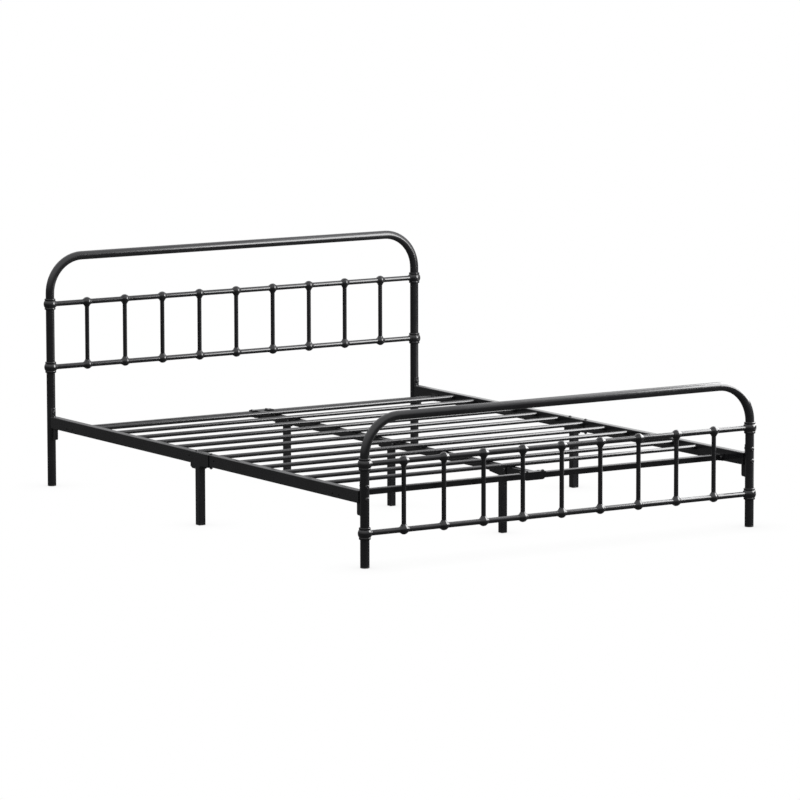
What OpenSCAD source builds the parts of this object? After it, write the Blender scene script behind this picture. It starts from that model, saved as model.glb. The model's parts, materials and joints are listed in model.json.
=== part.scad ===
// Knock-down metal bed frame: two bent-tube boards with rods and cast knuckles,
// two side rails that each join over a leg, a centre beam on three legs, two
// crossbars and twelve tube slats. Millimetres, +Z up, +Y towards the headboard.
// The origin is on the floor, at the middle of the frame.

/* [Overall] */
// Distance between post centres across the bed
post_span_x = 1510; // [900:5:2000]
// Distance between post centres along the bed
post_span_y = 2063; // [1900:1:2200]
// Height of the headboard
head_h = 820; // [780:5:1300]
// Height of the footboard
foot_h = 495; // [480:5:800]

/* [Boards] */
// Outer diameter of the bent tube
tube_d = 30; // [25:1:38]
// Wall of the bent tube
tube_wall = 1.5; // [1:0.1:2.5]
// Radius of the bend, at the tube's centre line
bend_r = 127; // [100:1:160]
// Diameter of the horizontal rods
rod_d = 18; // [14:0.5:22]
// Diameter of the vertical spindles
spindle_d = 15; // [10:0.5:18]
// Distance between spindles
spindle_pitch = 152; // [90:1:200]
// Spindles in each board
spindle_count = 9; // [3:2:9]
// Distance between a board's two rods
rod_gap = 222; // [150:1:260]
// Height of the headboard's lower rod
head_rod_z = 419; // [350:1:480]
// Height of the footboard's lower rod
foot_rod_z = 111; // [80:1:160]
// Diameter of the cast ball at a spindle's end
knuckle_d = 32; // [26:1:36]
// Diameter of the cast ball around a post
collar_d = 45; // [42:1:60]

/* [Side rails] */
// Width of the side rail's tube
rail_w = 25; // [20:1:30]
// Height of the side rail's tube
rail_h = 41; // [30:1:60]
// Height of the side rail's top above the floor
rail_top = 247; // [240:1:400]
// Wall of the side rail's tube
rail_wall = 1.5; // [1:0.1:2.5]
// Distance of the joint between the two halves from the bed's middle
joint_y = -20; // [-60:1:0]

/* [Slats] */
// Diameter of a slat
slat_d = 14; // [10:0.5:20]
// Distance between slats
slat_pitch = 134; // [100:1:160]
// Slats in each half of the bed
slats_per_half = 6; // [3:1:6]
// Height of the slats' centre line
slat_z = 234.5; // [230:0.5:236]
// Place of the slat nearest the headboard
first_slat_y = 750; // [700:1:780]
// Place of the slat nearest the footboard
last_slat_y = -743; // [-780:1:-700]

/* [Middle support] */
// Side of the square centre beam
beam_w = 25; // [20:1:30]
// Side of the square crossbars
crossbar_w = 20; // [16:0.5:25]
// Distance of each crossbar from the bed's middle
crossbar_y = 877; // [800:1:900]
// Side of the square side legs
side_leg_w = 25; // [20:1:30]
// Side of the square centre legs
centre_leg_w = 22; // [16:1:25]
// Distance between centre legs
centre_leg_pitch = 686; // [400:1:750]

/* [Hidden] */
$fn = 64;

paint = "#232426";
plastic = "#161617";
bolt_black = "#2c2d2f";

post_x = post_span_x / 2;
post_y = post_span_y / 2;
tube_r = tube_d / 2;
rod_r = rod_d / 2;
foot_flange = 4;

// Side rail levels and planes
rail_x = post_x;
rail_bottom = rail_top - rail_h;
rail_in = rail_x - rail_w / 2;
rail_out = rail_x + rail_w / 2;
rail_gap = 3.2;
rail_end = post_y - tube_r - rail_gap;
sheet = 3;

// Corner fixing: two bolts through each post
bolt_d = 8;
bolt_high = 262;
bolt_low = 222;
nut_d = 11;
bracket_bottom = 166;
bracket_top = 276;
lug_reach = 39;
tongue_w = 10;
tongue_reach = 80;

// Legs and beam levels
beam_bottom = slat_z - slat_d / 2 - beam_w;
beam_top = beam_bottom + beam_w;
beam_mid = beam_bottom + beam_w / 2;
plate = 2.5;
side_leg_top = rail_bottom - sheet;
centre_leg_top = beam_bottom - plate;
crossbar_bottom = rail_bottom + 0.5;
hook_bottom = beam_bottom;
crossbar_top = crossbar_bottom + crossbar_w;
leg_flange = 3;

// Small bolt, used all over the frame
m6 = 6;
nut_h = 4.5;
joiner_bolt_y = [joint_y + 72, joint_y - 90];
joiner_bolt_z = 229;
saddle_bolt_y = [24, -72];
crossbar_bolt_gap = 38;
crossbar_bolt_z = 218;
centre_bolt_y = [27, -33];
hook_bolt_x = [-30, 30];

function spindle_x(i) = (i - (spindle_count - 1) / 2) * spindle_pitch;
function slat_y(i) = i < slats_per_half
    ? first_slat_y - i * slat_pitch
    : last_slat_y + (2 * slats_per_half - 1 - i) * slat_pitch;

// ---------- shared shapes ----------

// Round bar or tube lying along X, centred on X = 0
module rod_x(d, length) {
    rotate([0, 90, 0]) cylinder(d = d, h = length, center = true);
}

// Round bar lying along Y, centred on Y = 0
module rod_y(d, length) {
    rotate([90, 0, 0]) cylinder(d = d, h = length, center = true);
}

// Rectangle with round corners, from four discs and two bars
module round_rect(w, h, r) {
    square([w - 2 * r, h], center = true);
    square([w, h - 2 * r], center = true);
    for (x = [-1, 1], y = [-1, 1])
        translate([x * (w / 2 - r), y * (h / 2 - r)]) circle(r = r, $fn = 32);
}

// Section of a rectangular tube with round corners
module tube_section(w, h, wall, r) {
    difference() {
        round_rect(w, h, r);
        round_rect(w - 2 * wall, h - 2 * wall, r - wall / 2);
    }
}

// Rectangular tube along Y, from y0 to y1, centred on x and z
module tube_y(x, z, w, h, wall, r, y0, y1) {
    translate([x, y1, z]) rotate([90, 0, 0])
        linear_extrude(y1 - y0) tube_section(w, h, wall, r);
}

// Rectangular tube along Z, from z0 to z1
module tube_z(x, y, w, wall, r, z0, z1) {
    translate([x, y, z0]) linear_extrude(z1 - z0) tube_section(w, w, wall, r);
}

// ---------- boards ----------

// Ring section of the bent tube
module tube_ring() {
    difference() {
        circle(r = tube_r);
        circle(r = tube_r - tube_wall);
    }
}

// Bent tube: two posts, two bends and a top bar, with the corner bolts' holes
module bent_tube(y, height) {
    top_z = height - tube_r;
    bend_z = top_z - bend_r;
    difference() {
        union() {
            for (side = [-1, 1]) {
                translate([side * post_x, y, foot_flange])
                    linear_extrude(bend_z - foot_flange) tube_ring();
                translate([side * (post_x - bend_r), y, bend_z])
                    rotate([90, 0, side > 0 ? 0 : 180])
                    rotate_extrude(angle = 90, $fn = 96)
                    translate([bend_r, 0]) tube_ring();
            }
            translate([bend_r - post_x, y, top_z]) rotate([0, 90, 0])
                linear_extrude(2 * (post_x - bend_r)) tube_ring();
        }
        for (side = [-1, 1], z = [bolt_low, bolt_high])
            translate([side * post_x, y, z]) rod_y(bolt_d + 0.4, 2 * tube_d);
    }
}

// Horizontal rod; its ends sit in the collars
module board_rod(y, z) {
    difference() {
        translate([0, y, z]) rod_x(rod_d, post_span_x - tube_d - 2);
        translate([0, y, z]) rod_x(rod_d - 2.4, post_span_x);
    }
}

// Vertical spindles between the two rods
module board_spindles(y, z) {
    for (i = [0 : spindle_count - 1])
        translate([spindle_x(i), y, z + rod_r])
            cylinder(d = spindle_d, h = rod_gap - rod_d);
}

// Cast ball where a rod passes through and a spindle plugs in, from above (up = 1)
// or from below (up = -1)
module knuckle(up) {
    difference() {
        sphere(d = knuckle_d, $fn = 48);
        rod_x(rod_d, 2 * knuckle_d);
        mirror([0, 0, up > 0 ? 0 : 1]) cylinder(d = spindle_d, h = knuckle_d);
    }
}

// All of one board's knuckles, on both rods
module board_knuckles(y, z) {
    for (i = [0 : spindle_count - 1]) {
        translate([spindle_x(i), y, z]) knuckle(1);
        translate([spindle_x(i), y, z + rod_gap]) knuckle(-1);
    }
}

// Half section of a collar: a ball between two rings, each behind a small groove
module collar_section() {
    ball_r = collar_d / 2;
    ball_half = 11.5;
    groove = 0.6;
    ring_r = tube_r + 4;
    ring_h = 7;
    chamfer = 1.5;
    ring_z = ball_half + groove;
    difference() {
        union() {
            intersection() {
                circle(r = ball_r);
                square([2 * ball_r + 1, 2 * ball_half], center = true);
            }
            square([2 * ring_r - 2, 2 * ring_z + 2], center = true);
            for (end = [0, 1]) mirror([0, end]) polygon([
                [0, ring_z], [ring_r, ring_z], [ring_r, ring_z + ring_h - chamfer],
                [ring_r - chamfer, ring_z + ring_h], [0, ring_z + ring_h]
            ]);
        }
        translate([tube_r - 2 * collar_d, -collar_d]) square(2 * collar_d);
    }
}

// Cast collar round a post, with a socket for the rod
module collar(inward) {
    socket_d = rod_d + 4;
    socket_reach = 23;
    difference() {
        union() {
            rotate_extrude($fn = 96) collar_section();
            translate([inward * socket_reach / 2, 0, 0]) rod_x(socket_d, socket_reach);
        }
        cylinder(r = tube_r, h = 2 * collar_d, center = true);
        translate([inward * socket_reach, 0, 0]) rod_x(rod_d, 1.2 * socket_reach);
    }
}

module board_collars(y, z) {
    for (side = [-1, 1], level = [z, z + rod_gap])
        translate([side * post_x, y, level]) collar(-side);
}

// Plastic foot that plugs a post's end
module post_foot() {
    bevel = 1.5;
    cylinder(r1 = tube_r - bevel, r2 = tube_r, h = bevel);
    translate([0, 0, bevel]) cylinder(r = tube_r, h = foot_flange - bevel);
    translate([0, 0, foot_flange]) cylinder(r = tube_r - tube_wall, h = 18);
}

module board_feet(y) {
    for (side = [-1, 1]) translate([side * post_x, y, 0]) post_foot();
}

module headboard_tube() { color(paint) bent_tube(post_y, head_h); }
module headboard_upper_rod() { color(paint) board_rod(post_y, head_rod_z + rod_gap); }
module headboard_lower_rod() { color(paint) board_rod(post_y, head_rod_z); }
module headboard_spindles() { color(paint) board_spindles(post_y, head_rod_z); }
module headboard_knuckles() { color(paint) board_knuckles(post_y, head_rod_z); }
module headboard_collars() { color(paint) board_collars(post_y, head_rod_z); }
module headboard_feet() { color(plastic) board_feet(post_y); }

module footboard_tube() { color(paint) bent_tube(-post_y, foot_h); }
module footboard_upper_rod() { color(paint) board_rod(-post_y, foot_rod_z + rod_gap); }
module footboard_lower_rod() { color(paint) board_rod(-post_y, foot_rod_z); }
module footboard_spindles() { color(paint) board_spindles(-post_y, foot_rod_z); }
module footboard_knuckles() { color(paint) board_knuckles(-post_y, foot_rod_z); }
module footboard_collars() { color(paint) board_collars(-post_y, foot_rod_z); }
module footboard_feet() { color(plastic) board_feet(-post_y); }

// ---------- side rails ----------

// Half of a side rail. side is -1 on the left; the end near the post is slotted
// underneath for the corner bracket's tongue
module half_rail(side, y0, y1) {
    slot_w = tongue_w + 0.4;
    slot_reach = lug_reach + 0.4;
    first = y0 > joint_y - 1 ? 0 : slats_per_half;
    difference() {
        tube_y(side * rail_x, rail_top - rail_h / 2, rail_w, rail_h, rail_wall, 2.5, y0, y1);
        for (end = [-1, 1])
            translate([side * rail_x, end * (post_y - slot_reach / 2), rail_bottom + rail_wall / 2])
                cube([slot_w, slot_reach, rail_wall + 2], center = true);
        for (i = [first : first + slats_per_half - 1])
            translate([side * rail_in, slat_y(i), slat_z]) rod_x(8, 8);
        for (y = joiner_bolt_y)
            translate([side * rail_out, y, joiner_bolt_z]) rod_x(m6, 8);
        for (y = saddle_bolt_y)
            translate([side * rail_x, y, rail_bottom - 1]) cylinder(d = m6, h = rail_h + 2);
        for (end = [-1, 1], k = [-1, 1])
            translate([side * rail_x, end * crossbar_y + k * crossbar_bolt_gap / 2, crossbar_bolt_z])
                rod_x(m6, rail_w + 4);
    }
}

// Insert that joins a side rail's halves
module rail_joiner(side) {
    inner_w = rail_w - 2 * rail_wall;
    inner_h = rail_h - 2 * rail_wall;
    difference() {
        tube_y(side * rail_x, rail_top - rail_h / 2, inner_w, inner_h, 1.5, 1.75,
               joint_y - 120, joint_y + 100);
        for (y = joiner_bolt_y)
            translate([side * rail_out, y, joiner_bolt_z]) rod_x(m6, 14);
        for (y = saddle_bolt_y)
            translate([side * rail_x, y, rail_bottom]) cylinder(d = m6, h = rail_h);
        translate([side * rail_in, slat_y(slats_per_half - 1), slat_z]) rod_x(8, 8);
        translate([side * rail_in, slat_y(slats_per_half), slat_z]) rod_x(8, 8);
    }
}

module left_rail_head() { color(paint) half_rail(-1, joint_y, rail_end); }
module left_rail_foot() { color(paint) half_rail(-1, -rail_end, joint_y); }
module right_rail_head() { color(paint) half_rail(1, joint_y, rail_end); }
module right_rail_foot() { color(paint) half_rail(1, -rail_end, joint_y); }
module left_rail_joiner() { color(paint) rail_joiner(-1); }
module right_rail_joiner() { color(paint) rail_joiner(1); }

// Part of a ring round the post's axis, facing +Y, of half-angle a
module post_strip(a, z0, z1) {
    translate([0, 0, z0]) rotate([0, 0, 90 - a])
        rotate_extrude(angle = 2 * a)
        translate([tube_r, 0]) square([plate, z1 - z0]);
}

// Corner bracket at the origin post, reaching towards +Y: a curved strip against
// the post, and a folded tongue that shows below the rail and runs inside it
module corner_bracket() {
    corner = 7;
    fold = 2.5;
    low_reach = lug_reach - tube_r - 1;
    inside_h = rail_h - 2 * rail_wall - 1;
    difference() {
        union() {
            post_strip(35, bracket_bottom, bracket_top);
            translate([-tongue_w / 2, 0, 0]) rotate([90, 0, 90]) linear_extrude(tongue_w) {
                translate([tube_r + 1, bracket_bottom])
                    square([low_reach - corner, rail_bottom + 1 - bracket_bottom]);
                translate([tube_r + 1, bracket_bottom + corner])
                    square([low_reach, rail_bottom + 1 - bracket_bottom - corner]);
                translate([lug_reach - corner, bracket_bottom + corner]) circle(r = corner);
                translate([tube_r + 1, rail_bottom + rail_wall])
                    square([tongue_reach - tube_r - 1, inside_h]);
                translate([tube_r + 1, rail_bottom]) square([low_reach, rail_wall]);
            }
        }
        // the fold is hollow, and leaves room for the lower bolt's nut
        translate([fold - tongue_w / 2, tube_r + plate, bracket_bottom + fold])
            cube([tongue_w - 2 * fold, lug_reach - fold - tube_r - plate,
                  rail_top - bracket_bottom - 3 * fold]);
        translate([0, tube_r + plate + 4, bolt_low]) rod_y(nut_d + 0.6, 8);
        cylinder(r = tube_r, h = 400);
        for (z = [bolt_low, bolt_high])
            translate([0, tube_r, z]) rod_y(bolt_d + 0.4, 20);
    }
}

// Puts a corner's piece on its post; head is 1 at the headboard, -1 at the footboard
module at_corner(side, head) {
    translate([side * post_x, head * post_y, 0])
        rotate([0, 0, head > 0 ? 180 : 0]) children();
}

module head_left_bracket() { color(paint) at_corner(-1, 1) corner_bracket(); }
module head_right_bracket() { color(paint) at_corner(1, 1) corner_bracket(); }
module foot_left_bracket() { color(paint) at_corner(-1, -1) corner_bracket(); }
module foot_right_bracket() { color(paint) at_corner(1, -1) corner_bracket(); }

// Round-headed bolt through a post, its head on the outer side
module corner_bolt() {
    head_h = 4;
    translate([0, 3, 0]) rod_y(bolt_d, 2 * tube_r + 6);
    translate([0, -tube_r, 0]) rotate([90, 0, 0]) difference() {
        union() {
            cylinder(d = 15, h = 1.4);
            translate([0, 0, 1.4]) cylinder(d1 = 13, d2 = 8, h = head_h - 1.4);
        }
        translate([0, 0, 1.8]) cylinder(d = 5, h = head_h, $fn = 6);
    }
}

// Sleeve nut on the bed side of the bracket
module corner_nut() {
    translate([0, tube_r + plate + 3, 0]) difference() {
        rod_y(nut_d, 6);
        rod_y(bolt_d, 7);
    }
}

module corner_bolts() {
    color(bolt_black) for (side = [-1, 1], head = [-1, 1], z = [bolt_low, bolt_high])
        at_corner(side, head) translate([0, 0, z]) corner_bolt();
}

module corner_nuts() {
    color(bolt_black) for (side = [-1, 1], head = [-1, 1], z = [bolt_low, bolt_high])
        at_corner(side, head) translate([0, 0, z]) corner_nut();
}

// ---------- side legs ----------

// Saddle that holds a side rail's joint on its leg: a web under the rail and a
// plate on each side, which reaches lower beside the leg
module leg_saddle(side) {
    back = 38;
    front = -78;
    drop = 16;
    outline = [
        [back, rail_top - 1.5], [back, rail_bottom - 10], [back - 12, rail_bottom - drop],
        [-side_leg_w / 2 - 1, rail_bottom - drop], [-side_leg_w / 2 - 14, rail_bottom - sheet],
        [front, rail_bottom - sheet], [front, rail_top - 1.5]
    ];
    difference() {
        union() {
            for (x = [rail_in - sheet, rail_out])
                translate([side * x - (side < 0 ? sheet : 0), 0, 0]) rotate([90, 0, 90])
                    linear_extrude(sheet) polygon(outline);
            translate([side * rail_x - rail_w / 2, front, rail_bottom - sheet])
                cube([rail_w, back - front, sheet]);
        }
        for (y = saddle_bolt_y)
            translate([side * rail_x, y, rail_bottom - 10]) cylinder(d = m6, h = 20);
        translate([side * rail_in, slat_y(slats_per_half), slat_z]) rod_x(slat_d + 4, 14);
    }
}

module side_leg(side) {
    tube_z(side * rail_x, 0, side_leg_w, 1.5, 2, leg_flange, side_leg_top);
}

module left_leg_saddle() { color(paint) leg_saddle(-1); }
module right_leg_saddle() { color(paint) leg_saddle(1); }
module left_leg() { color(paint) side_leg(-1); }
module right_leg() { color(paint) side_leg(1); }

// ---------- centre beam ----------

module half_beam(y0, y1) {
    difference() {
        tube_y(0, beam_mid, beam_w, beam_w, 1.5, 2, y0, y1);
        for (k = [-1 : 1], y = centre_bolt_y)
            translate([0, k * centre_leg_pitch + y, beam_mid]) rod_x(m6, 2 * beam_w);
    }
}

module centre_beam_head() { color(paint) half_beam(joint_y, crossbar_y - crossbar_w / 2 - sheet); }
module centre_beam_foot() { color(paint) half_beam(sheet + crossbar_w / 2 - crossbar_y, joint_y); }

module centre_beam_joiner() {
    color(paint) difference() {
        tube_y(0, beam_mid, beam_w - 3, beam_w - 3, 1.5, 1.25, joint_y - 90, joint_y + 90);
        for (y = centre_bolt_y) translate([0, y, beam_mid]) rod_x(m6, 2 * beam_w);
    }
}

// Saddle that holds the centre beam on a leg
module centre_saddle(k) {
    reach = 57;
    back_reach = 40;
    drop = 10;
    outline = [
        [reach, beam_top - 3], [reach, beam_bottom - plate],
        [-centre_leg_w / 2, beam_bottom - drop], [-centre_leg_w / 2 - 10, beam_bottom - plate],
        [-back_reach, beam_bottom - plate], [-back_reach, beam_top - 3]
    ];
    translate([0, k * centre_leg_pitch, 0]) difference() {
        union() {
            for (x = [-beam_w / 2 - plate, beam_w / 2])
                translate([x, 0, 0]) rotate([90, 0, 90]) linear_extrude(plate) polygon(outline);
            translate([-beam_w / 2, -back_reach, beam_bottom - plate])
                cube([beam_w, reach + back_reach, plate]);
        }
        for (y = centre_bolt_y) translate([0, y, beam_mid]) rod_x(m6, 2 * beam_w);
    }
}

module centre_leg(k) {
    tube_z(0, k * centre_leg_pitch, centre_leg_w, 1.5, 1.8, leg_flange, centre_leg_top);
}

module centre_saddle_head() { color(paint) centre_saddle(1); }
module centre_saddle_middle() { color(paint) centre_saddle(0); }
module centre_saddle_foot() { color(paint) centre_saddle(-1); }
module centre_leg_head() { color(paint) centre_leg(1); }
module centre_leg_middle() { color(paint) centre_leg(0); }
module centre_leg_foot() { color(paint) centre_leg(-1); }

// Plastic foot that plugs a square leg's end
module leg_foot(w) {
    bevel = 1;
    translate([0, 0, bevel]) linear_extrude(leg_flange - bevel) round_rect(w, w, 2);
    linear_extrude(bevel) round_rect(w - 2 * bevel, w - 2 * bevel, 1.5);
    translate([0, 0, leg_flange]) linear_extrude(16) round_rect(w - 3, w - 3, 1.25);
}

module leg_feet() {
    color(plastic) {
        for (side = [-1, 1]) translate([side * rail_x, 0, 0]) leg_foot(side_leg_w);
        for (k = [-1 : 1]) translate([0, k * centre_leg_pitch, 0]) leg_foot(centre_leg_w);
    }
}

// ---------- crossbars ----------

module crossbar(head) {
    half = rail_in - sheet;
    difference() {
        translate([-half, head * crossbar_y, crossbar_bottom + crossbar_w / 2])
            rotate([90, 0, 90]) linear_extrude(2 * half)
            tube_section(crossbar_w, crossbar_w, 1.5, 3);
        for (x = hook_bolt_x)
            translate([x, head * crossbar_y, crossbar_top - 4]) cylinder(d = m6, h = 5);
    }
}

module head_crossbar() { color(paint) crossbar(1); }
module foot_crossbar() { color(paint) crossbar(-1); }

// Plate welded to a crossbar's end and bolted to the side rail
module crossbar_bracket(side, head) {
    length = 56;
    translate([side * (rail_in - sheet / 2), head * crossbar_y, rail_bottom + 13])
    difference() {
        rotate([90, 0, 90]) linear_extrude(sheet, center = true) round_rect(length, 26, 4);
        for (k = [-1, 1])
            translate([0, k * crossbar_bolt_gap / 2, crossbar_bolt_z - rail_bottom - 13])
                rod_x(m6, 8);
    }
}

module crossbar_brackets() {
    color(paint) for (side = [-1, 1], head = [-1, 1]) crossbar_bracket(side, head);
}

// Hook on the centre beam's end, which drops over the crossbar
module beam_hook() {
    width = 88;
    shift = 10;
    corner = 14;
    low = hook_bottom;
    half = crossbar_w / 2;
    translate([shift - width / 2, 0, 0]) difference() {
        union() {
            // outer and inner plates, with round lower corners
            for (y = [half + sheet, -half])
            translate([0, y, 0]) rotate([90, 0, 0]) linear_extrude(sheet) {
                translate([corner, low]) square([width - 2 * corner, corner]);
                translate([0, low + corner]) square([width, crossbar_top - low - corner]);
                for (x = [corner, width - corner])
                    translate([x, low + corner]) circle(r = corner);
            }
            translate([0, -half - sheet, crossbar_top]) cube([width, crossbar_w + 2 * sheet, sheet]);
        }
        for (x = hook_bolt_x)
            translate([x + width / 2 - shift, 0, crossbar_top - 1]) cylinder(d = m6, h = 10);
    }
}

module head_beam_hook() { color(paint) translate([0, crossbar_y, 0]) beam_hook(); }
module foot_beam_hook() {
    color(paint) translate([0, -crossbar_y, 0]) rotate([0, 0, 180]) beam_hook();
}

// ---------- small bolts ----------

// Button-headed bolt with its shank along -Z from the origin
module small_bolt(length) {
    translate([0, 0, -length]) cylinder(d = m6, h = length);
    difference() {
        union() {
            cylinder(d = 11, h = 1.2);
            translate([0, 0, 1.2]) cylinder(d1 = 10, d2 = 6.5, h = 2.2);
        }
        translate([0, 0, 1.4]) cylinder(d = 4, h = 3, $fn = 6);
    }
}

// Headless screw that ends a little under the surface, with a hexagon socket
module flush_screw(length) {
    difference() {
        translate([0, 0, -length]) cylinder(d = m6, h = length - 1);
        translate([0, 0, -3]) cylinder(d = 3, h = 3, $fn = 6);
    }
}

module hex_nut() {
    difference() {
        translate([0, 0, -nut_h]) cylinder(d = nut_d, h = nut_h, $fn = 6);
        translate([0, 0, -nut_h - 1]) cylinder(d = m6, h = nut_h + 2);
    }
}

// Turns a bolt or nut so that its head looks along side * X
module along_x(side) {
    rotate([0, side * 90, 0]) children();
}

module at_saddle_bolts() {
    for (side = [-1, 1], y = saddle_bolt_y) translate([side * rail_x, y, rail_top]) children();
}

module at_crossbar_screws() {
    for (side = [-1, 1], head = [-1, 1], k = [-1, 1])
        translate([side * rail_out, head * crossbar_y + k * crossbar_bolt_gap / 2, crossbar_bolt_z])
            along_x(side) children();
}

module at_centre_bolts() {
    for (k = [-1 : 1], y = centre_bolt_y)
        translate([-beam_w / 2 - plate, k * centre_leg_pitch + y, beam_mid]) along_x(-1) children();
}

module frame_bolts() {
    color(bolt_black) {
        at_saddle_bolts() small_bolt(rail_h + sheet + nut_h + 2);
        at_centre_bolts() small_bolt(beam_w + 2 * plate + nut_h + 2);
        at_crossbar_screws() flush_screw(rail_w + sheet + nut_h + 1);
        for (side = [-1, 1], y = joiner_bolt_y)
            translate([side * rail_out, y, joiner_bolt_z]) along_x(side) flush_screw(6);
        for (head = [-1, 1], x = hook_bolt_x)
            translate([x, head * crossbar_y, crossbar_top + sheet]) small_bolt(sheet + 4);
    }
}

module frame_nuts() {
    color(bolt_black) {
        at_saddle_bolts() translate([0, 0, -rail_h - sheet]) hex_nut();
        at_centre_bolts() translate([0, 0, -beam_w - 2 * plate]) hex_nut();
        at_crossbar_screws() translate([0, 0, -rail_w - sheet]) hex_nut();
    }
}

// ---------- slats ----------

module slat(i) {
    color(paint) translate([0, slat_y(i), slat_z]) difference() {
        rod_x(slat_d, 2 * (rail_in - 4));
        rod_x(slat_d - 2.4, 2 * rail_in);
    }
}

module slat_01() { slat(0); }
module slat_02() { slat(1); }
module slat_03() { slat(2); }
module slat_04() { slat(3); }
module slat_05() { slat(4); }
module slat_06() { slat(5); }
module slat_07() { slat(6); }
module slat_08() { slat(7); }
module slat_09() { slat(8); }
module slat_10() { slat(9); }
module slat_11() { slat(10); }
module slat_12() { slat(11); }

// Plastic plug in a slat's end: a stem in the slat, a washer, and a peg in the rail
module slat_plug() {
    translate([-4, 0, 0]) rotate([0, -90, 0]) cylinder(d = slat_d - 2.4, h = 16);
    translate([-4, 0, 0]) rotate([0, 90, 0]) cylinder(d = slat_d + 3, h = 4);
    rotate([0, 90, 0]) cylinder(d = 8, h = rail_wall + 1.5);
}

module slat_plugs() {
    color(plastic) for (i = [0 : 2 * slats_per_half - 1], side = [0, 1])
        translate([(side == 1 ? 1 : -1) * rail_in, slat_y(i), slat_z])
            mirror([side == 1 ? 0 : 1, 0, 0]) slat_plug();
}

headboard_tube();
headboard_upper_rod();
headboard_lower_rod();
headboard_spindles();
headboard_knuckles();
headboard_collars();
headboard_feet();
footboard_tube();
footboard_upper_rod();
footboard_lower_rod();
footboard_spindles();
footboard_knuckles();
footboard_collars();
footboard_feet();
left_rail_head();
left_rail_foot();
right_rail_head();
right_rail_foot();
left_rail_joiner();
right_rail_joiner();
head_left_bracket();
head_right_bracket();
foot_left_bracket();
foot_right_bracket();
corner_bolts();
corner_nuts();
left_leg_saddle();
right_leg_saddle();
left_leg();
right_leg();
centre_beam_head();
centre_beam_foot();
centre_beam_joiner();
centre_saddle_head();
centre_saddle_middle();
centre_saddle_foot();
centre_leg_head();
centre_leg_middle();
centre_leg_foot();
leg_feet();
head_crossbar();
foot_crossbar();
crossbar_brackets();
head_beam_hook();
foot_beam_hook();
frame_bolts();
frame_nuts();
slat_01();
slat_02();
slat_03();
slat_04();
slat_05();
slat_06();
slat_07();
slat_08();
slat_09();
slat_10();
slat_11();
slat_12();
slat_plugs();
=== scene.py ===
"""Looks for the metal bed frame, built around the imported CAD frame. Metres, +Z up, +Y to the headboard."""

import json
import math

import bmesh
import bpy
import numpy as np
from mathutils import Matrix, Vector


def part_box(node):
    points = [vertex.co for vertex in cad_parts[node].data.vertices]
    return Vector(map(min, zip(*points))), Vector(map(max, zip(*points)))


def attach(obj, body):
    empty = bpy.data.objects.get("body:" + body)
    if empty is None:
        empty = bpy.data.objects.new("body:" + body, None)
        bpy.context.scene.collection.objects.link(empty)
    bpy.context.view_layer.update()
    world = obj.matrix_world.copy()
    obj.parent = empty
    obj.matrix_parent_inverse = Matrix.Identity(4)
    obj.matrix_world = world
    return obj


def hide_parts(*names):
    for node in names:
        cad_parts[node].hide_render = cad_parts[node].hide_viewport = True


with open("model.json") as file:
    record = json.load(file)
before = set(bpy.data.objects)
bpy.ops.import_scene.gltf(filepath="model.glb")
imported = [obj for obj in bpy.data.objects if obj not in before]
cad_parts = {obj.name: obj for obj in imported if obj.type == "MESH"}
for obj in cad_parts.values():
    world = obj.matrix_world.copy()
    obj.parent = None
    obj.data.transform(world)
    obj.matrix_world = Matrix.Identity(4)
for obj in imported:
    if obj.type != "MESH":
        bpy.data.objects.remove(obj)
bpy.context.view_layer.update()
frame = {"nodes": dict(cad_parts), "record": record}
nodes = frame["nodes"]
BODY = "root"
MM = 0.001


# ---------- camera, light and floor ----------

# Degrees: yaw from +Y towards +X, pitch downwards, roll about the line of sight.
CAMERA_TURN = (32.502, 7.756, -0.106)
CAMERA_PLACE = (-9.3429, -14.7200, 2.7389)
SENSOR_WIDTH_MM = 36
FOCAL_LENGTH_MM = 232.31
VIEW_REACH = 200

# What the studio throws back at the frame; the camera itself sees white.
FLOOR_BOUNCE = (0.12, 0.12, 0.12)
SKY_LOW = (0.20, 0.20, 0.20)
SKY_HIGH = (1.3, 1.3, 1.32)
# Where low sky starts and ends its fade into high sky, from 0 straight down to 1 straight up.
SKY_FADE = (0.5, 0.8)

# The floor's half width, how far off a piece still shades it, and how bright the deepest shade stays.
FLOOR_HALF = 60
CONTACT_REACH = 0.15
CONTACT_SHADE = 0.72

# Words in the names of the underframe's pieces, which the strong panel doesn't light.
FLAGGED = ("_rail_", "crossbar", "_beam_", "_saddle", "_hook")


def make_camera():
    yaw, pitch, roll = map(math.radians, CAMERA_TURN)
    forward = Vector((math.sin(yaw) * math.cos(pitch), math.cos(yaw) * math.cos(pitch), -math.sin(pitch)))
    level_right = Vector((math.cos(yaw), -math.sin(yaw), 0))
    level_up = level_right.cross(forward)
    right = math.cos(roll) * level_right + math.sin(roll) * level_up
    up = math.cos(roll) * level_up - math.sin(roll) * level_right
    camera = bpy.data.objects.new("camera", bpy.data.cameras.new("camera"))
    camera.data.sensor_width = SENSOR_WIDTH_MM
    camera.data.lens = FOCAL_LENGTH_MM
    camera.data.clip_end = VIEW_REACH
    turn = Matrix((right, up, -forward)).transposed().to_4x4()
    camera.matrix_world = Matrix.Translation(CAMERA_PLACE) @ turn
    bpy.context.scene.collection.objects.link(camera)
    bpy.context.scene.camera = camera


def area_light(name, place, target, size, power):
    """A soft rectangular panel, facing a target, that the camera doesn't see. Power is in watts."""
    data = bpy.data.lights.new(name, "AREA")
    data.shape = "RECTANGLE"
    data.size, data.size_y = size
    data.energy = power
    light = bpy.data.objects.new(name, data)
    light.location = place
    light.visible_camera = False
    light.rotation_euler = (Vector(target) - Vector(place)).to_track_quat("-Z", "Y").to_euler()
    bpy.context.scene.collection.objects.link(light)
    return light


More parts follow.
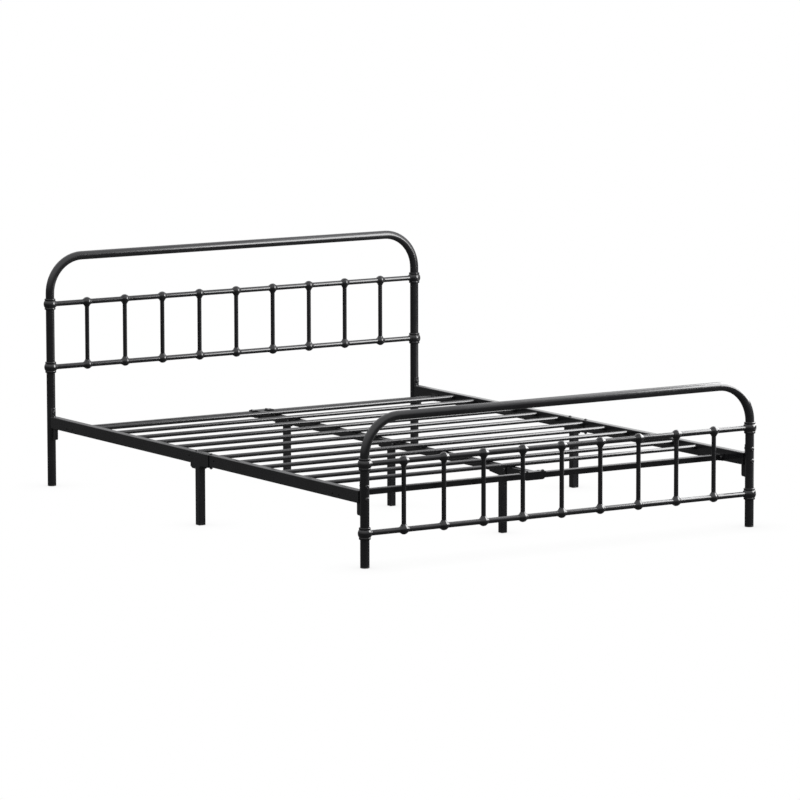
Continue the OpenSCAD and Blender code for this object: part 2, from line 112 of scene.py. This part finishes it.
def shade_flat_tops(light):
    """A studio flag: keeps a light off the underframe, whose flat tops it would burn out to white."""
    flagged = bpy.data.collections.new("flagged")
    for name, node in nodes.items():
        if any(word in name for word in FLAGGED):
            flagged.objects.link(node)
    light.light_linking.receiver_collection = flagged
    for child in flagged.collection_objects:
        child.light_linking.link_state = "EXCLUDE"


def make_lights():
    """A strong panel on the right, a wide weak one above it, a small one behind, a dim card on the floor."""
    panel = area_light("side panel", (1.85, -1.40, 1.40), (0.85, -1.40, 1.40), (2.4, 1.7), 150)
    shade_flat_tops(panel)
    area_light("side fill", (1.95, -0.9, 2.2), (0.95, -0.9, 2.2), (3.2, 3.0), 60)
    area_light("back panel", (2.8, 2.4, 0.5), (1.8, 1.7, 0.5), (2.0, 1.0), 4)
    area_light("floor card", (2.5, -0.3, 0.02), (2.5, -0.3, 1.0), (2.2, 2.4), 16)


def make_world():
    """A white surround for the camera, and for reflections a studio that is bright above and dim below."""
    world = bpy.data.worlds.new("studio")
    world.use_nodes = True
    bpy.context.scene.world = world
    tree = world.node_tree
    tree.nodes.clear()
    out = tree.nodes.new("ShaderNodeOutputWorld")
    mix = tree.nodes.new("ShaderNodeMixShader")
    path = tree.nodes.new("ShaderNodeLightPath")
    seen = tree.nodes.new("ShaderNodeBackground")
    seen.inputs["Color"].default_value = (1, 1, 1, 1)
    lit = tree.nodes.new("ShaderNodeBackground")
    coord = tree.nodes.new("ShaderNodeTexCoord")
    split = tree.nodes.new("ShaderNodeSeparateXYZ")
    ramp = tree.nodes.new("ShaderNodeValToRGB")
    span = tree.nodes.new("ShaderNodeMapRange")
    span.inputs["From Min"].default_value = -1
    tree.links.new(coord.outputs["Generated"], split.inputs[0])
    tree.links.new(split.outputs["Z"], span.inputs["Value"])
    tree.links.new(span.outputs["Result"], ramp.inputs["Fac"])
    for stop, height, colour in zip(ramp.color_ramp.elements, SKY_FADE, (SKY_LOW, SKY_HIGH)):
        stop.position, stop.color = height, (*colour, 1)
    tree.links.new(ramp.outputs["Color"], lit.inputs["Color"])
    tree.links.new(path.outputs["Is Camera Ray"], mix.inputs["Fac"])
    tree.links.new(lit.outputs[0], mix.inputs[1])
    tree.links.new(seen.outputs[0], mix.inputs[2])
    tree.links.new(mix.outputs[0], out.inputs["Surface"])


def floor_material():
    """Pale floor with a soft contact shade. It throws back less light than it shows."""
    mat = bpy.data.materials.new("floor")
    mat.use_nodes = True
    tree = mat.node_tree
    tree.nodes.clear()
    out = tree.nodes.new("ShaderNodeOutputMaterial")
    mix = tree.nodes.new("ShaderNodeMixShader")
    path = tree.nodes.new("ShaderNodeLightPath")
    shade = tree.nodes.new("ShaderNodeAmbientOcclusion")
    shade.samples = 16
    shade.inputs["Distance"].default_value = CONTACT_REACH
    soften = tree.nodes.new("ShaderNodeMapRange")
    soften.inputs["To Min"].default_value = CONTACT_SHADE
    seen = tree.nodes.new("ShaderNodeEmission")
    bounced = tree.nodes.new("ShaderNodeEmission")
    bounced.inputs["Color"].default_value = (*FLOOR_BOUNCE, 1)
    tree.links.new(shade.outputs["AO"], soften.inputs["Value"])
    tree.links.new(soften.outputs["Result"], seen.inputs["Strength"])
    tree.links.new(path.outputs["Is Camera Ray"], mix.inputs["Fac"])
    tree.links.new(bounced.outputs[0], mix.inputs[1])
    tree.links.new(seen.outputs[0], mix.inputs[2])
    tree.links.new(mix.outputs[0], out.inputs["Surface"])
    return mat


def make_floor():
    mesh = bpy.data.meshes.new("floor")
    corners = [(x * FLOOR_HALF, y * FLOOR_HALF, 0) for x, y in ((-1, -1), (1, -1), (1, 1), (-1, 1))]
    mesh.from_pydata(corners, [], [(0, 1, 2, 3)])
    floor = bpy.data.objects.new("floor", mesh)
    mesh.materials.append(floor_material())
    bpy.context.scene.collection.objects.link(floor)


# ---------- materials ----------

def noise(tree, coord, scale, detail, roughness=0.5):
    node = tree.nodes.new("ShaderNodeTexNoise")
    node.inputs["Scale"].default_value = scale
    node.inputs["Detail"].default_value = detail
    node.inputs["Roughness"].default_value = roughness
    tree.links.new(coord, node.inputs["Vector"])
    return node.outputs["Fac"]


def spread(tree, value, low, high):
    """Maps a noise's middle range to low..high."""
    node = tree.nodes.new("ShaderNodeMapRange")
    node.inputs["From Min"].default_value = 0.3
    node.inputs["From Max"].default_value = 0.7
    node.inputs["To Min"].default_value = low
    node.inputs["To Max"].default_value = high
    tree.links.new(value, node.inputs["Value"])
    return node.outputs["Result"]


def blend_colours(tree, factor, first, second):
    node = tree.nodes.new("ShaderNodeMix")
    node.data_type = "RGBA"
    node.inputs[6].default_value = (*first, 1)
    node.inputs[7].default_value = (*second, 1)
    tree.links.new(factor, node.inputs[0])
    return node.outputs[2]


def relief(tree, coord, waves, detail, roughness, strength, under=None):
    """Bumps with waves of a (size, depth) in millimetres, over the bumps already there."""
    size, depth = waves
    height = noise(tree, coord, 1 / (size * MM), detail, roughness)
    node = tree.nodes.new("ShaderNodeBump")
    node.inputs["Strength"].default_value = strength
    node.inputs["Distance"].default_value = depth * MM
    tree.links.new(height, node.inputs["Height"])
    if under:
        tree.links.new(under, node.inputs["Normal"])
    return node.outputs["Normal"]


def coated(name, dark, light, rough, peel, grit, coat=0.0):
    """A coated or moulded surface: a cloudy colour, a wavy peel, fine grit, and uneven gloss.
    Peel and grit are each the (size, depth) of their waves in millimetres."""
    mat = bpy.data.materials.new(name)
    mat.use_nodes = True
    tree = mat.node_tree
    shader = tree.nodes["Principled BSDF"]
    coord = tree.nodes.new("ShaderNodeTexCoord").outputs["Object"]
    clouds_per_metre, speck_size = 9, 0.9 * MM
    cloud = noise(tree, coord, clouds_per_metre, 3)
    specks = noise(tree, coord, 1 / speck_size, 1)
    shade = spread(tree, cloud, 0.0, 0.8)
    tree.links.new(blend_colours(tree, shade, dark, light), shader.inputs["Base Color"])
    gloss = tree.nodes.new("ShaderNodeMath")
    gloss.operation = "ADD"
    tree.links.new(spread(tree, cloud, rough - 0.03, rough + 0.04), gloss.inputs[0])
    tree.links.new(spread(tree, specks, -0.02, 0.03), gloss.inputs[1])
    tree.links.new(gloss.outputs[0], shader.inputs["Roughness"])
    wavy = relief(tree, coord, peel, detail=2, roughness=0.5, strength=0.6)
    gritty = relief(tree, coord, grit, detail=4, roughness=0.6, strength=0.5, under=wavy)
    tree.links.new(gritty, shader.inputs["Normal"])
    shader.inputs["Coat Weight"].default_value = coat
    shader.inputs["Coat Roughness"].default_value = 0.2
    return mat


def make_materials():
    return {
        "powder_black": coated("powder coat on tube", (0.009, 0.009, 0.010), (0.014, 0.014, 0.015),
                               rough=0.13, peel=(2.5, 0.010), grit=(0.5, 0.0015)),
        "cast_black": coated("powder coat on casting", (0.008, 0.008, 0.009), (0.013, 0.013, 0.014),
                             rough=0.15, peel=(3.0, 0.025), grit=(0.9, 0.004)),
        "slat_black": coated("powder coat on slats", (0.010, 0.010, 0.011), (0.015, 0.015, 0.016),
                             rough=0.14, peel=(2.5, 0.010), grit=(0.5, 0.0015)),
        "underframe_black": coated("powder coat on underframe", (0.008, 0.008, 0.009), (0.013, 0.013, 0.014),
                                   rough=0.18, peel=(2.5, 0.018), grit=(0.6, 0.003)),
        "black_bolt": coated("black bolt", (0.012, 0.012, 0.013), (0.025, 0.025, 0.027),
                             rough=0.26, peel=(1.5, 0.02), grit=(0.3, 0.01), coat=0.2),
        "feet_plastic": coated("foot plastic", (0.006, 0.006, 0.006), (0.011, 0.011, 0.011),
                               rough=0.52, peel=(1.2, 0.04), grit=(0.35, 0.03)),
        "plug_plastic": coated("plug plastic", (0.006, 0.006, 0.006), (0.010, 0.010, 0.010),
                               rough=0.45, peel=(1.2, 0.03), grit=(0.35, 0.02)),
    }


materials = make_materials()


def dress_nodes():
    """Every CAD node takes the material of its slot in the record."""
    for part in frame["record"]["subparts"]:
        mesh = nodes[part["node"]].data
        mesh.materials.clear()
        mesh.materials.append(materials[part["material_slot"]])


# ---------- sizes, read from the frame ----------

def middle(node):
    low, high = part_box(node)
    return (low + high) / 2


def half(node):
    low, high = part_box(node)
    return (high - low) / 2


TUBE_R = half("headboard_tube").y
POST_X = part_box("headboard_tube")[1].x - TUBE_R
ROD_R = half("headboard_upper_rod").z
SPINDLE_R = half("headboard_spindles").y
SPINDLES_PER_BOARD = 9
BALL_R = half("headboard_knuckles").y
COLLAR_R = half("headboard_collars").y
# The tubes' wall, and how far a casting's bore is sunk into the tube it holds, so that no gap shows.
WALL = 1.5 * MM
TIGHT = 0.4 * MM


def solid_boxes(node):
    """The box of each separate solid in a CAD node, as (lowest, highest) corners."""
    mesh = bmesh.new()
    mesh.from_mesh(nodes[node].data)
    bmesh.ops.remove_doubles(mesh, verts=mesh.verts, dist=0.001 * MM)
    seen = set()
    boxes = []
    for start in mesh.verts:
        if start in seen:
            continue
        seen.add(start)
        todo, places = [start], []
        while todo:
            vert = todo.pop()
            places.append(vert.co.copy())
            fresh = {edge.other_vert(vert) for edge in vert.link_edges} - seen
            seen |= fresh
            todo.extend(fresh)
        places = np.array(places)
        boxes.append((Vector(places.min(axis=0)), Vector(places.max(axis=0))))
    mesh.free()
    return boxes


# ---------- pieces ----------

def new_piece(name, points, faces, slot, *replaced):
    """A smooth mesh piece in the row frame that rides on the body and may stand for CAD nodes."""
    mesh = bpy.data.meshes.new(name)
    mesh.from_pydata([tuple(p) for p in points], [], [tuple(f) for f in faces])
    mesh.update()
    mesh.shade_smooth()
    mesh.materials.append(materials[slot])
    piece = bpy.data.objects.new(name, mesh)
    bpy.context.scene.collection.objects.link(piece)
    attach(piece, BODY)
    if replaced:
        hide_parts(*replaced)
    return piece


def joined(parts):
    """Several (points, faces) as one."""
    points, faces, start = [], [], 0
    for part_points, part_faces in parts:
        points.extend(part_points)
        faces.extend(tuple(i + start for i in face) for face in part_faces)
        start += len(part_points)
    return points, faces


def placed(part, turn):
    points, faces = part
    return [turn @ Vector(p) for p in points], faces


# ---------- castings: surfaces of a signed distance, so that every joint has a real fillet ----------

def cut(a, b, soft):
    """Where both shapes are, with the edge between them rounded."""
    t = np.clip(0.5 + 0.5 * (a - b) / soft, 0, 1)
    return b + (a - b) * t + soft * t * (1 - t)


def fuse(a, b, soft):
    """Where either shape is, with a fillet between them."""
    return -cut(-a, -b, soft)


def surface(distance, low, high, step):
    """Surface nets: a quad mesh, in metres, of the surface where distance(x, y, z) is zero."""
    low = np.array(low)
    counts = np.ceil((np.array(high) - low) / step).astype(int) + 1
    grid = low + step * np.stack(np.meshgrid(*map(np.arange, counts), indexing="ij"), axis=-1)
    value = distance(*np.moveaxis(grid, -1, 0))
    total = np.zeros((*(counts - 1), 3))
    number = np.zeros(counts - 1)
    crossings = []
    for axis in range(3):
        near = np.take(value, range(counts[axis] - 1), axis)
        far = np.take(value, range(1, counts[axis]), axis)
        crossed = (near < 0) != (far < 0)
        share = np.where(crossed, near / np.where(crossed, near - far, 1), 0)
        place = np.take(grid, range(counts[axis] - 1), axis) + share[..., None] * step * np.eye(3)[axis]
        side, other = [k for k in range(3) if k != axis]
        for a in (0, 1):
            for b in (0, 1):
                window = [slice(None)] * 3
                window[side] = slice(a, counts[side] - 1 + a)
                window[other] = slice(b, counts[other] - 1 + b)
                window = tuple(window)
                total += np.where(crossed[window][..., None], place[window], 0)
                number += crossed[window]
        crossings.append((axis, side, other, crossed, near < 0))
    index = np.full(number.shape, -1)
    index[number > 0] = np.arange(np.count_nonzero(number))
    points = (total[number > 0] / number[number > 0][:, None])
    faces = []
    for axis, side, other, crossed, leaving in crossings:
        where = np.argwhere(crossed)
        ring = []
        for a, b in ((1, 1), (0, 1), (0, 0), (1, 0)):
            cell = where.copy()
            cell[:, side] -= a
            cell[:, other] -= b
            ring.append(index[tuple(cell.T)])
        quads = np.stack(ring, axis=1)
        turned = leaving[tuple(where.T)] ^ (axis == 1)
        quads[~turned] = quads[~turned][:, ::-1]
        faces.append(quads)
    return settle(points, distance, step) * MM, np.concatenate(faces)


def settle(points, distance, step):
    """Moves the points onto the surface itself, along its slope and by half a step at most each time."""
    reach, rounds, least_slope = 0.05, 4, 0.2
    for _ in range(rounds):
        here = distance(*points.T)
        slope = np.stack([
            (distance(*(points + reach * e).T) - distance(*(points - reach * e).T)) / (2 * reach)
            for e in np.eye(3)], axis=1)
        move = here[:, None] * slope / np.maximum((slope ** 2).sum(axis=1), least_slope)[:, None]
        points = points - np.clip(move, -step / 2, step / 2)
    return points


def seam(across, height=0.2, width=0.9):
    """The fine ridge that a casting's two mould halves leave."""
    return height * np.exp(-(across / width) ** 2)


def knuckle_shape(up):
    """Ball on a rod with a funnel round the spindle's end; millimetres, up is 1 or -1."""
    ball_r, rod_r, spindle_r = BALL_R / MM, ROD_R / MM, SPINDLE_R / MM
    tight, bore_edge = TIGHT / MM, 0.3
    sleeve_wall, sleeve_half = 0.9, ball_r - 0.4
    funnel_wall, funnel_reach = 1.0, 1.6

    def distance(x, y, z):
        from_rod, from_spindle = np.hypot(y, z), np.hypot(x, y)
        ball = np.sqrt(x * x + y * y + z * z) - ball_r
        sleeve = cut(from_rod - rod_r - sleeve_wall, np.abs(x) - sleeve_half, 0.8)
        funnel_ends = np.abs(up * z - ball_r / 2) - ball_r / 2 - funnel_reach
        funnel = cut(from_spindle - spindle_r - funnel_wall, funnel_ends, 0.9)
        body = fuse(fuse(ball, sleeve, 2.5), funnel, 5.0) - seam(y)
        body = cut(body, rod_r - tight - from_rod, bore_edge)
        return cut(body, -np.maximum(from_spindle - spindle_r + tight, -up * z), bore_edge)

    side = ball_r + 1.5
    taller = 2
    low = [-side, -side, -side if up > 0 else -side - taller]
    return surface(distance, low, [side, side, low[2] + 2 * side + taller], 0.8)


def collar_shape(inward):
    """Ball between two rings round a post, with a boss for the rod; millimetres, inward is the rod's side."""
    ball_r, post_r, rod_r = COLLAR_R / MM, TUBE_R / MM, ROD_R / MM
    tight, bore_edge = TIGHT / MM, 0.3
    ball_half, ring_mid, ring_half, ring_r = 11.5, 15.6, 3.5, post_r + 4
    neck_r = ring_r - 1
    boss_wall, boss_reach, socket_start = 2, 23, 10

    def distance(x, y, z):
        from_post, from_rod = np.hypot(x, y), np.hypot(y, z)
        ball = cut(np.hypot(from_post, z) - ball_r, np.abs(z) - ball_half, 1.4)
        neck = np.maximum(from_post - neck_r, np.abs(z) - ring_mid)
        ring = cut(from_post - ring_r, np.abs(np.abs(z) - ring_mid) - ring_half, 1.8)
        boss = cut(from_rod - rod_r - boss_wall, np.maximum(inward * x - boss_reach, -inward * x), 1.5)
        body = fuse(fuse(fuse(ball, neck, 0.5), ring, 0.8), boss, 3.0) - seam(y)
        body = cut(body, post_r - tight - from_post, bore_edge)
        return cut(body, -np.maximum(from_rod - rod_r + tight, socket_start - inward * x), bore_edge)

    side = ball_r + 1.5
    tall = ring_mid + ring_half + 1.5
    return surface(distance, [-side - 1, -side, -tall], [side + 1, side, tall], 0.9)


def make_castings():
    knuckle = {up: knuckle_shape(up) for up in (-1, 1)}
    collar = {inward: collar_shape(inward) for inward in (-1, 1)}
    for board in ("headboard", "footboard"):
        y = middle(board + "_tube").y
        low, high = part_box(board + "_spindles")
        row = np.linspace(low.x + SPINDLE_R, high.x - SPINDLE_R, SPINDLES_PER_BOARD)
        knuckles, collars = [], []
        for rod, up in (("_lower_rod", 1), ("_upper_rod", -1)):
            level = middle(board + rod).z
            for x in row:
                knuckles.append(placed(knuckle[up], Matrix.Translation((x, y, level))))
            for side in (-1, 1):
                place = Matrix.Translation((side * POST_X, y, level))
                collars.append(placed(collar[-side], place))
        new_piece(board + "_ball_castings", *joined(knuckles), "cast_black", board + "_knuckles")
        new_piece(board + "_post_castings", *joined(collars), "cast_black", board + "_collars")


# ---------- turned and pressed pieces ----------

def turned(outline, sides=48):
    """A closed solid round Z from (radius, z, hexagonal) rows; it ends in two poles or is a ring."""
    points, rows = [], []
    for radius, z, hexagonal in outline:
        if radius == 0:
            rows.append([len(points)] * sides)
            points.append((0, 0, z))
            continue
        rows.append(list(range(len(points), len(points) + sides)))
        for k in range(sides):
            angle = 2 * math.pi * k / sides
            bend = math.cos((angle + math.pi / 6) % (math.pi / 3) - math.pi / 6)
            r = min(radius / bend, hexagonal) if hexagonal else radius
            points.append((r * math.cos(angle), r * math.sin(angle), z))
    if outline[0][0] > 0:
        rows.append(rows[0])
    faces = []
    for upper, lower in zip(rows, rows[1:]):
        for k in range(sides):
            n = (k + 1) % sides
            face = [upper[k], lower[k], lower[n], upper[n]]
            faces.append(tuple(dict.fromkeys(face)))
    return points, faces


def arc(centre_r, centre_z, radius_r, radius_z, start, end, steps):
    """Points of an ellipse's arc in an outline, in degrees from straight up towards the outside."""
    angles = np.radians(np.linspace(start, end, steps))
    return [(centre_r + radius_r * math.sin(a), centre_z + radius_z * math.cos(a), 0) for a in angles]


def bolt_shape(shank_r, length, head_r, head_h, socket, flange_r=0.0):
    """Button-headed bolt with a hexagon socket, head up, its seat at z = 0."""
    edge = 0.15 * head_h
    rim = socket * 1.3
    wide = socket * 2
    outline = [(0, 0.3 * head_h, 0), (socket, 0.35 * head_h, wide), (socket, head_h - 2 * edge, wide),
               (rim, head_h - 0.3 * edge, 0)]
    outline += arc(rim, 1.5 * edge, head_r - rim, head_h - 1.5 * edge, 4, 90, 9)
    if flange_r:
        outline += [(head_r, 2 * edge, 0)]
        outline += arc(flange_r - edge, edge, edge, edge, 0, 180, 6)
    else:
        outline += [(head_r, edge, 0), (head_r - 0.5 * edge, 0, 0)]
    tip = 0.25 * shank_r
    outline += [(shank_r, 0, 0), (shank_r, tip - length, 0), (shank_r - tip, -length, 0), (0, -length, 0)]
    return turned(outline)


def screw_shape(radius, length, socket):
    """Headless screw, its socket's mouth at z = 0."""
    bevel = 0.15 * radius
    wide = socket * 2
    outline = [(0, -1.2 * socket, 0), (socket, -1.1 * socket, wide), (socket, -0.1 * socket, wide),
               (1.2 * socket, 0, 0), (radius - bevel, 0, 0), (radius, -bevel, 0),
               (radius, bevel - length, 0), (radius - bevel, -length, 0), (0, -length, 0)]
    return turned(outline)


def nut_shape(bore_r, flat_r, height):
    """Hexagon nut with chamfered corners and a countersunk bore, from z = 0 to its height."""
    corner = flat_r / math.cos(math.pi / 6)
    sink = 0.1 * height
    outline = [(bore_r, sink, 0), (bore_r + sink, 0, 0), (0.95 * flat_r, 0, 0), (flat_r, sink, corner * 0.97),
               (flat_r, 2.2 * sink, corner), (flat_r, height - 2.2 * sink, corner),
               (flat_r, height - sink, corner * 0.97), (0.95 * flat_r, height, 0),
               (bore_r + sink, height, 0), (bore_r, height - sink, 0)]
    return turned(outline[::-1])


def sleeve_nut_shape(bore_r, outer_r, height):
    """Round nut with rounded rims and a shallow groove round its middle."""
    edge = 0.12 * height
    outline = [(bore_r, height - edge, 0), (bore_r + edge, height, 0)]
    outline += arc(outer_r - edge, height - edge, edge, edge, 0, 90, 4)
    outline += [(outer_r, 0.62 * height, 0), (outer_r - 0.3 * edge, 0.55 * height, 0),
                (outer_r - 0.3 * edge, 0.45 * height, 0), (outer_r, 0.38 * height, 0)]
    outline += arc(outer_r - edge, edge, edge, edge, 90, 180, 4)
    outline += [(bore_r + edge, 0, 0), (bore_r, edge, 0)]
    return turned(outline)


def facing(place, direction):
    """Puts a shape made round Z at a place, with its top towards a direction."""
    return Matrix.Translation(place) @ Vector(direction).to_track_quat("Z", "Y").to_matrix().to_4x4()


def make_corner_bolts():
    """Bolts through the posts; a solid's box gives each one's place and length."""
    corner = []
    shank_r, head_r, head_h, socket = 4 * MM, 6.5 * MM, 4 * MM, 2.5 * MM
    for low, high in solid_boxes("corner_bolts"):
        outward = 1 if low.y + high.y > 0 else -1
        seat_y = (high.y if outward > 0 else low.y) - outward * head_h
        seat = ((low.x + high.x) / 2, seat_y, (low.z + high.z) / 2)
        length = high.y - low.y - head_h
        shape = bolt_shape(shank_r, length, head_r, head_h, socket, flange_r=(high.x - low.x) / 2)
        corner.append(placed(shape, facing(seat, (0, outward, 0))))
    new_piece("corner_button_bolts", *joined(corner), "black_bolt", "corner_bolts")


def make_frame_bolts():
    """Headed bolts and flush screws in the underframe; the wider solids are the headed ones."""
    small = []
    shank_r, head_h, sunk = 3 * MM, 3.4 * MM, 2.2 * MM
    for low, high in solid_boxes("frame_bolts"):
        size, centre = high - low, (low + high) / 2
        width = sorted(size)[1] if min(size) > 5.5 * MM else 2 * shank_r
        if abs(size.y - size.z) < 0.2 * MM:
            side = Vector((1 if centre.x > 0.1 else -1, 0, 0))
        else:
            side = Vector((0, 0, 1))
        length = abs(size.dot(side))
        top = centre + side * length / 2
        if width > 8 * MM:
            shape = bolt_shape(shank_r, length - head_h, width / 2, head_h, 2 * MM)
            top = top - side * head_h
        else:
            shape = screw_shape(shank_r, length - sunk, 1.5 * MM)
            top = top - side * sunk
        small.append(placed(shape, facing(top, side)))
    new_piece("frame_button_bolts", *joined(small), "black_bolt", "frame_bolts")


def make_frame_nuts():
    """Hexagon nuts; the thin way of each solid's box is the nut's axis."""
    bore_r = 3 * MM
    hexes = []
    for low, high in solid_boxes("frame_nuts"):
        size, centre = high - low, (low + high) / 2
        axis = min(range(3), key=lambda k: size[k])
        direction = Vector([1 if k == axis else 0 for k in range(3)])
        shape = nut_shape(bore_r, max(size) / 2 * math.cos(math.pi / 6), size[axis])
        hexes.append(placed(shape, facing(centre - direction * size[axis] / 2, direction)))
    new_piece("frame_hex_nuts", *joined(hexes), "black_bolt", "frame_nuts")


def make_corner_nuts():
    """Round nuts on the bed side of the corner brackets."""
    bore_r = 4 * MM
    sleeves = []
    for low, high in solid_boxes("corner_nuts"):
        centre = (low + high) / 2
        shape = sleeve_nut_shape(bore_r, (high.x - low.x) / 2, high.y - low.y)
        sleeves.append(placed(shape, facing((centre.x, low.y, centre.z), (0, 1, 0))))
    new_piece("corner_sleeve_nuts", *joined(sleeves), "black_bolt", "corner_nuts")


def foot_shape(height):
    """Plastic plug for a post: a dished sole, a rounded rim, and a ribbed stem inside the tube."""
    r = TUBE_R
    rib_r = r - WALL
    stem_r = rib_r - 0.4 * MM
    rib_half, rib_pitch = 0.8 * MM, 4 * MM
    sole, dish, rim, bevel = 4 * MM, 1.2 * MM, 1.8 * MM, 0.3 * MM
    outline = [(0, dish, 0), (0.28 * r, dish, 0), (0.36 * r, dish / 6, 0), (0.4 * r, 0, 0)]
    outline += arc(r - rim, rim, rim, rim, 180, 90, 7)
    outline += [(r, sole - bevel, 0), (r - bevel, sole, 0), (stem_r, sole, 0)]
    for level in np.arange(sole + 3 * MM, height - 3 * MM, rib_pitch):
        outline += [(stem_r, level, 0), (rib_r, level + rib_half, 0), (stem_r, level + 2 * rib_half, 0)]
    outline += [(stem_r, height - 2 * MM, 0), (rib_r - 2 * MM, height, 0), (0, height, 0)]
    return turned(outline[::-1], sides=64)


def make_feet():
    for board in ("headboard", "footboard"):
        low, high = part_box(board + "_feet")
        y = (low.y + high.y) / 2
        shape = foot_shape(high.z - low.z)
        feet = [placed(shape, Matrix.Translation((side * POST_X, y, low.z))) for side in (-1, 1)]
        new_piece(board + "_plastic_feet", *joined(feet), "feet_plastic", board + "_feet")


# ---------- welds ----------

def square_path(half_x, half_y, corner, step):
    """Points round a square with round corners, evenly spaced, counter-clockwise."""
    path = []
    for quarter in range(4):
        turn = Matrix.Rotation(quarter * math.pi / 2, 2)
        a, b = (half_x, half_y) if quarter % 2 == 0 else (half_y, half_x)
        for y in np.arange(corner - b, b - corner, step):
            path.append(turn @ Vector((a, y)))
        for angle in np.arange(0, math.pi / 2, step / corner):
            out = Vector((a - corner + corner * math.cos(angle), b - corner + corner * math.sin(angle)))
            path.append(turn @ out)
    return path


def bead_shape(half_x, half_y):
    """Fillet weld round a square tube: a rippled bead in the plane z = 0."""
    radius, pitch, corner, step = 1.5 * MM, 2.4 * MM, 2.2 * MM, 0.6 * MM
    ripples, drift = 2 * math.pi / pitch, 190
    around = 10
    path = square_path(half_x, half_y, corner, step)
    total = len(path)
    points, faces = [], []
    travelled = 0.0
    for k, place in enumerate(path):
        ahead = path[(k + 1) % total] - path[k - 1]
        outward = Vector((ahead.y, -ahead.x)).normalized()
        travelled += (place - path[k - 1]).length if k else 0
        swell = 0.10 * math.cos(ripples * travelled) + 0.05 * math.sin(drift * travelled)
        ripple = radius * (1 + swell)
        for j in range(around):
            angle = 2 * math.pi * j / around
            off = ripple * math.cos(angle)
            points.append((place.x + outward.x * off, place.y + outward.y * off, ripple * math.sin(angle)))
            a, b = k * around, ((k + 1) % total) * around
            n = (j + 1) % around
            faces.append((a + j, b + j, b + n, a + n))
    return points, faces


def make_welds():
    """Beads where a leg meets its saddle, a crossbar its end plates, and the beam its hooks."""
    overlap = 0.3 * MM
    legs = []
    for node in ("left_leg", "right_leg", "centre_leg_head", "centre_leg_middle", "centre_leg_foot"):
        centre, size = middle(node), half(node)
        leg_top = Matrix.Translation((centre.x, centre.y, centre.z + size.z))
        legs.append(placed(bead_shape(size.x, size.y), leg_top))
    new_piece("leg_weld_beads", *joined(legs), "underframe_black")

    bars = []
    for node in ("head_crossbar", "foot_crossbar"):
        centre, size = middle(node), half(node)
        for side in (-1, 1):
            bar_end = facing((side * (size.x - overlap), centre.y, centre.z), (side, 0, 0))
            bars.append(placed(bead_shape(size.z, size.z), bar_end))
    for node, head in (("centre_beam_head", 1), ("centre_beam_foot", -1)):
        centre, size = middle(node), half(node)
        beam_end = facing((0, centre.y + head * (size.y - overlap), centre.z), (0, head, 0))
        bars.append(placed(bead_shape(size.x, size.z), beam_end))
    new_piece("bar_weld_beads", *joined(bars), "underframe_black")


# ---------- pressed steel: soft edges on the CAD pieces ----------

def soften(node, width):
    """Breaks the sharp edges of a CAD piece as bending, deburring and powder coat do."""
    piece = nodes[node]
    weld = piece.modifiers.new("weld", "WELD")
    weld.merge_threshold = 0.001 * MM
    flat = piece.modifiers.new("flat faces", "DECIMATE")
    flat.decimate_type = "DISSOLVE"
    flat.angle_limit = math.radians(1)
    edge = piece.modifiers.new("soft edges", "BEVEL")
    edge.width = width
    edge.segments = 3
    edge.limit_method = "ANGLE"
    edge.angle_limit = math.radians(35)
    edge.harden_normals = True


# Widths of the soft edges, each with the words that name the pieces it belongs to.
EDGES = (
    (0.7 * MM, ("_bracket", "_saddle", "_hook")),
    (0.3 * MM, ("_rail_", "crossbar", "_leg", "_beam_")),
    (0.4 * MM, ("leg_feet", "slat_plugs")),
)


def soften_edges():
    """Each piece takes the first width above that has a word of its name; round ones have none."""
    for node in nodes:
        for width, words in EDGES:
            if any(word in node for word in words):
                soften(node, width)
                break


make_camera()
make_world()
make_floor()
make_lights()
dress_nodes()
make_castings()
make_corner_bolts()
make_frame_bolts()
make_frame_nuts()
make_corner_nuts()
make_feet()
make_welds()
soften_edges()
bpy.context.scene.view_settings.view_transform = "Standard"
